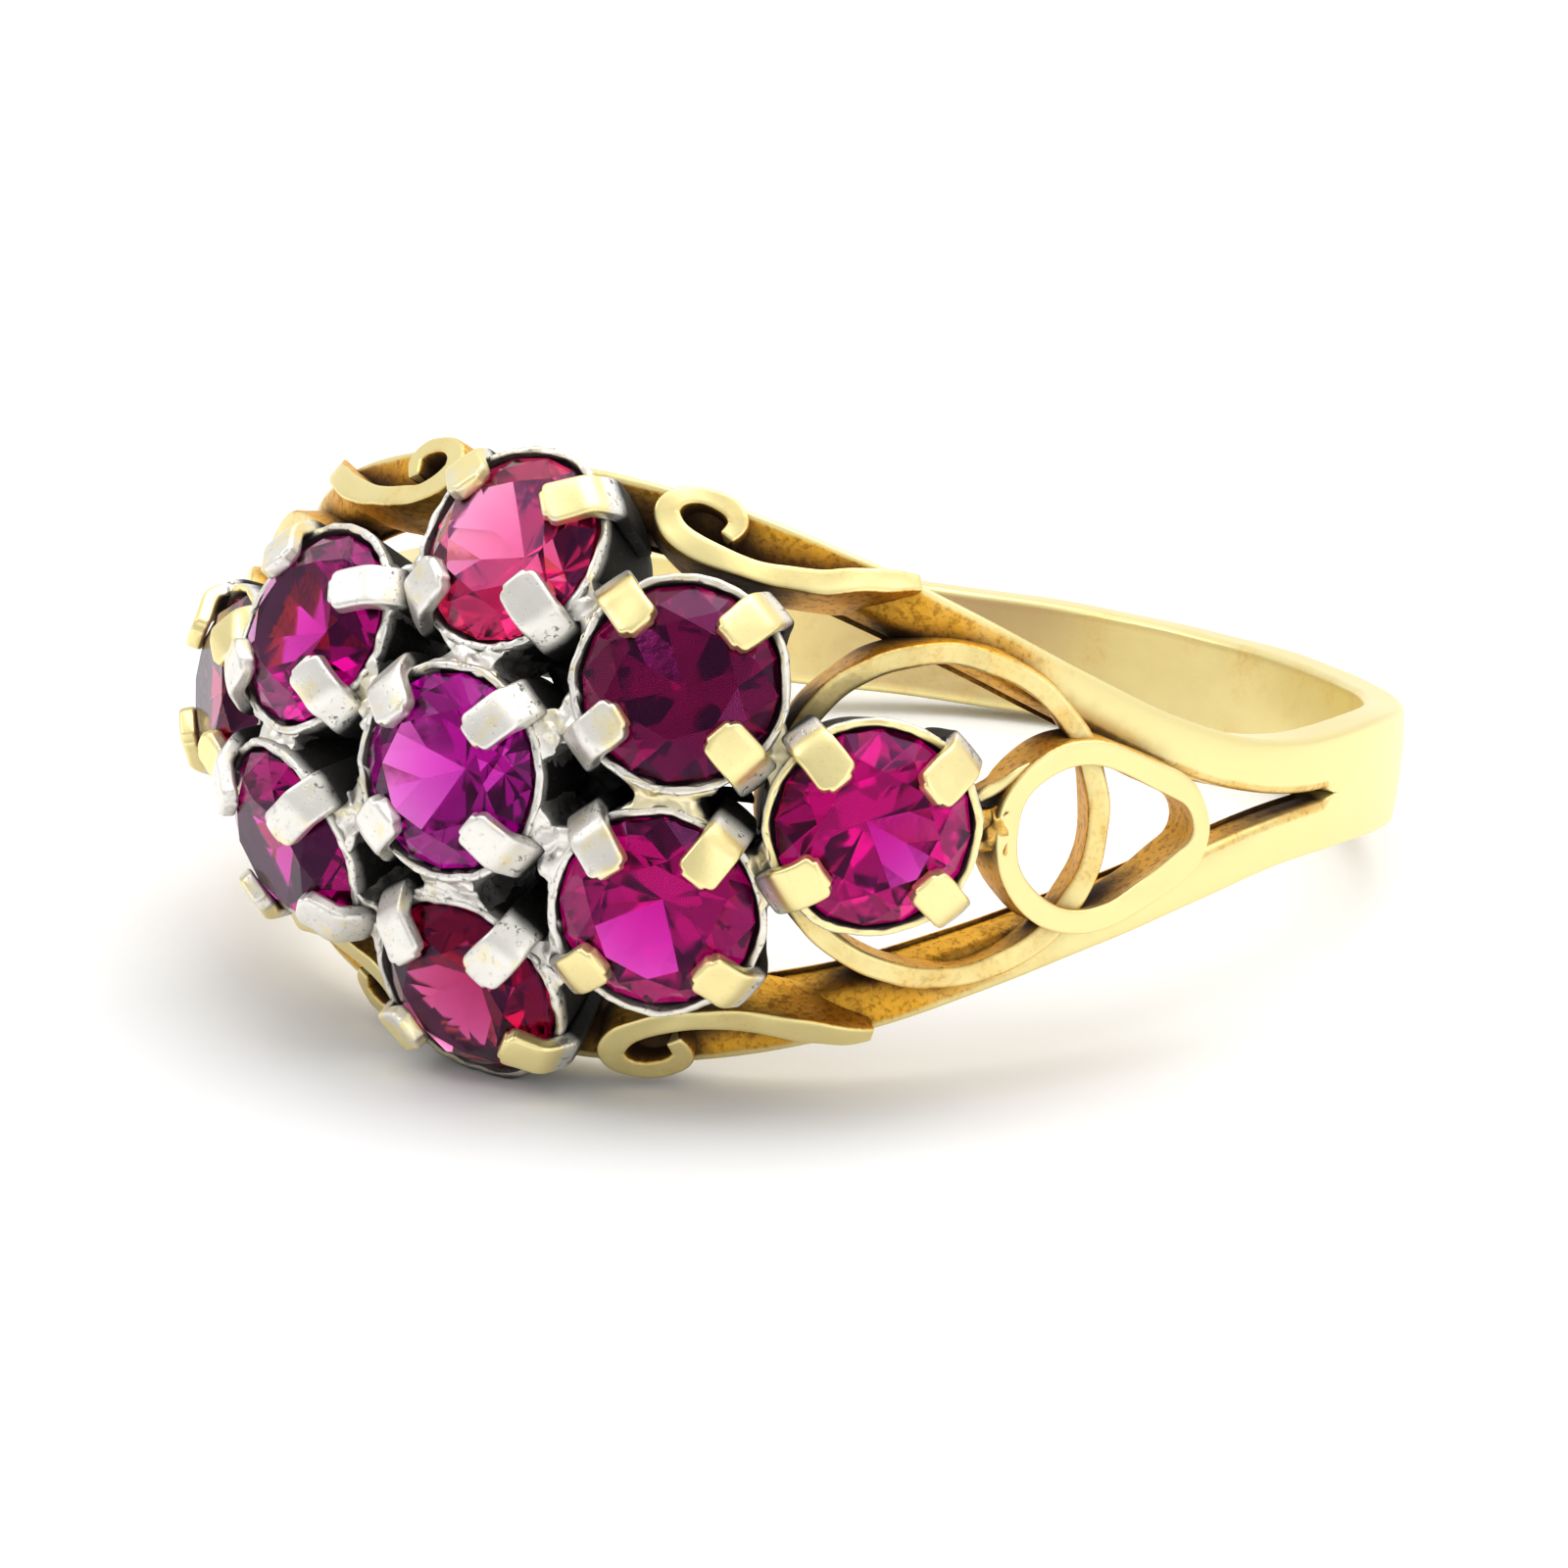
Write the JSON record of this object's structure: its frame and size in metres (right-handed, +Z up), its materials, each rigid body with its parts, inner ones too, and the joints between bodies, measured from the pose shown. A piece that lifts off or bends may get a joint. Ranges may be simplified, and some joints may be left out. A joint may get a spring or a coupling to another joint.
{
  "type": "cluster ring",
  "caption": "Finger ring with a domed cluster of round stones, each in a cup with flat claws, over a split hoop with scrolls, loops and teardrops of bent strip.",
  "frame": {"origin": "on the floor under the middle of the ring's box, with the ring lying on its side as it rests by itself", "axes": "+Z up, +Y from the head towards the back of the hoop, +X to the right seen from in front of the head; the finger's axis leans 12.33 degrees from +Z towards +Y"},
  "size_m": [0.0194, 0.022, 0.0103],
  "materials": {
    "yellow_gold": "polished yellow gold on the raised faces, darker and grainy in the recesses",
    "white_gold": "satin white gold plating, worn on the claws, with grainy rims",
    "ruby": "polished facets, purplish red to pink"
  },
  "bodies": {
    "root": {"setting": "yellow_gold", "stone_centre": "ruby", "stone_top": "ruby", "stone_bottom": "ruby", "stone_right_top": "ruby", "stone_right_bottom": "ruby", "stone_left_top": "ruby", "stone_left_bottom": "ruby", "stone_right_end": "ruby", "stone_left_end": "ruby"}
  },
  "joints": []
}
